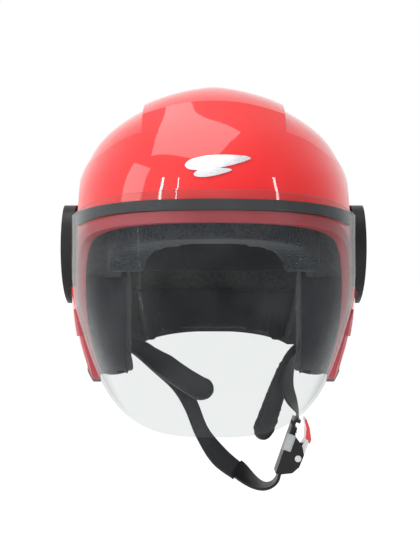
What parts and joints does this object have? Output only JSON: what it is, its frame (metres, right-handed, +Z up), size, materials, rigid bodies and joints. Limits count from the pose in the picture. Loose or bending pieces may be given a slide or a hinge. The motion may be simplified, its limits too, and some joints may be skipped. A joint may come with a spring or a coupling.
{
  "type": "open face motorcycle helmet",
  "caption": "Open face helmet with foam and cloth lining, a clear bubble visor that lifts on side pivots, and a padded chin strap with a toothed quick release buckle.",
  "frame": {"origin": "midpoint of the visor pivot axis, close to the centre of the wearer's head", "axes": "+Z up, the face opening looks along -Y, +X towards the wearer's left"},
  "size_m": [0.2708, 0.3016, 0.3606],
  "materials": {
    "red_paint": "glossy red lacquer over a composite shell",
    "foam": "expanded polystyrene",
    "lining": "dark grey quilted cloth",
    "mesh_cloth": "dark grey spacer mesh",
    "red_rubber": "satin red beading",
    "black_rubber": "satin black rubber",
    "silver_badge": "silver foil",
    "clear_visor": "clear polycarbonate",
    "black_plastic": "black moulded plastic",
    "spring_steel": "spring steel",
    "dark_steel": "blackened steel",
    "steel": "zinc plated steel",
    "webbing": "black woven webbing",
    "strap_cloth": "dark knitted cloth over foam",
    "red_plastic": "red moulded plastic"
  },
  "bodies": {
    "helmet": {"outer_shell": "red_paint", "eps_liner": "foam", "comfort_liner": "lining", "brow_pad": "mesh_cloth", "left_cheek_pad": "lining", "right_cheek_pad": "lining", "neck_pad": "lining", "face_edge_trim": "red_rubber", "neck_edge_trim": "black_rubber", "brow_seal": "black_rubber", "front_emblem": "silver_badge", "left_base_plate": "black_plastic", "right_base_plate": "black_plastic", "left_detent_spring": "spring_steel", "right_detent_spring": "spring_steel", "left_side_cover": "black_plastic", "right_side_cover": "black_plastic", "left_pivot_screw": "dark_steel", "right_pivot_screw": "dark_steel", "left_strap_spacer": "steel", "right_strap_spacer": "steel", "base_plate_screws": "dark_steel", "base_plate_nuts": "steel", "strap_rivets": "steel"},
    "visor": {"visor": "clear_visor", "left_ratchet_ring": "black_plastic", "right_ratchet_ring": "black_plastic"},
    "chin_strap": {"left_strap_hanger": "steel", "right_strap_hanger": "steel", "left_strap": "webbing", "right_strap": "webbing", "left_strap_pad": "strap_cloth", "right_strap_pad": "strap_cloth", "ratchet_strip": "black_plastic", "buckle_body": "black_plastic", "buckle_pin": "steel", "buckle_spring": "spring_steel"},
    "buckle_lever": {"buckle_lever": "steel", "lever_tab": "red_plastic"}
  },
  "joints": [
    {"name": "visor_hinge", "type": "hinge", "parent": "helmet", "child": "visor", "pos_m": [0, 0, 0], "axis": [-1, 0, 0], "range_deg": [0, 72]},
    {"name": "strap_swing", "type": "hinge", "parent": "helmet", "child": "chin_strap", "pos_m": [0, 0.03, -0.056], "axis": [-1, 0, 0], "range_deg": [-8, 8]},
    {"name": "buckle_lever_hinge", "type": "hinge", "parent": "chin_strap", "child": "buckle_lever", "pos_m": [0.07524, 0, -0.18625], "axis": [0, 1, 0], "range_deg": [0, 24], "stiffness_Nm_per_rad": 0.06, "springref_deg": -17.19}
  ]
}
